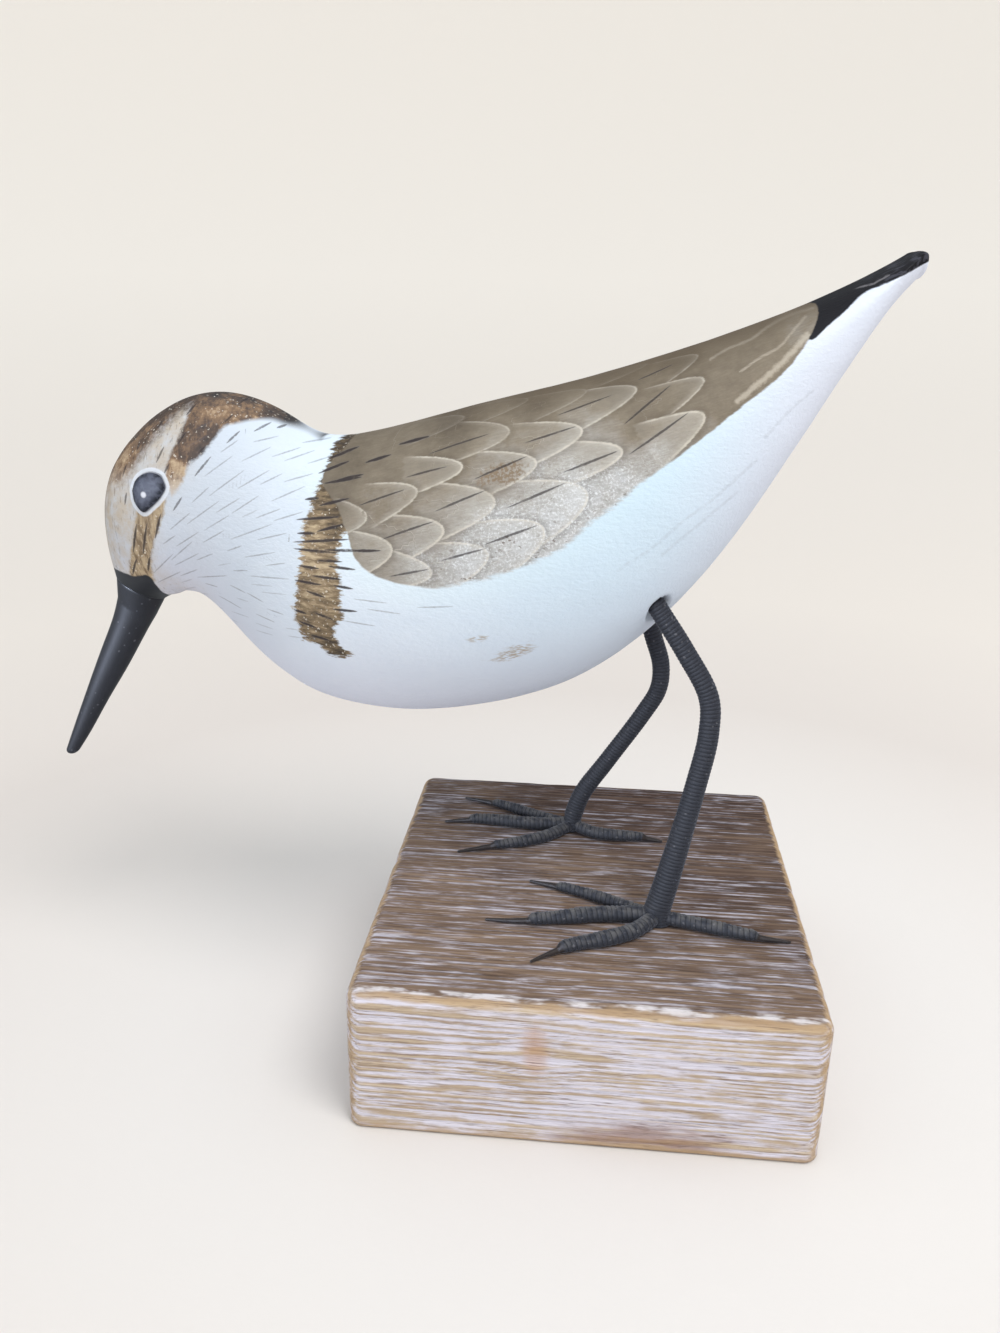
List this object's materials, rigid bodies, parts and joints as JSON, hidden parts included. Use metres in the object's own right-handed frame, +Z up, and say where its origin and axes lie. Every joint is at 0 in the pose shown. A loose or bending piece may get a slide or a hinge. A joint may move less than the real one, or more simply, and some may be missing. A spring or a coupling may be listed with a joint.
{
  "type": "shorebird decoy",
  "caption": "Carved and painted wooden shorebird with its bill lowered, on wire legs bound with thread, standing on a limewashed wooden block",
  "frame": {"origin": "middle of the plinth's underside", "axes": "+Z up; the bird looks towards -X and its left side faces -Y"},
  "size_m": [0.1757, 0.096, 0.162],
  "materials": {
    "limewashed_wood": "wire brushed and limewashed, rubbed back to the wood at the edges",
    "painted_wood": "matte paint, white with grey and tan feathers, rubbed in places",
    "black_paint": "satin black paint",
    "eye_bead": "dark grey, half gloss, with a small white dot",
    "black_thread": "close turns of matte black thread, with bare dark wire claws"
  },
  "bodies": {
    "root": {"plinth": "limewashed_wood", "body": "painted_wood", "bill": "black_paint", "left_eye": "eye_bead", "right_eye": "eye_bead", "left_leg": "black_thread", "right_leg": "black_thread", "left_middle_toe": "black_thread", "left_inner_toe": "black_thread", "left_outer_toe": "black_thread", "left_hind_toe": "black_thread", "right_middle_toe": "black_thread", "right_inner_toe": "black_thread", "right_outer_toe": "black_thread", "right_hind_toe": "black_thread"}
  },
  "joints": []
}
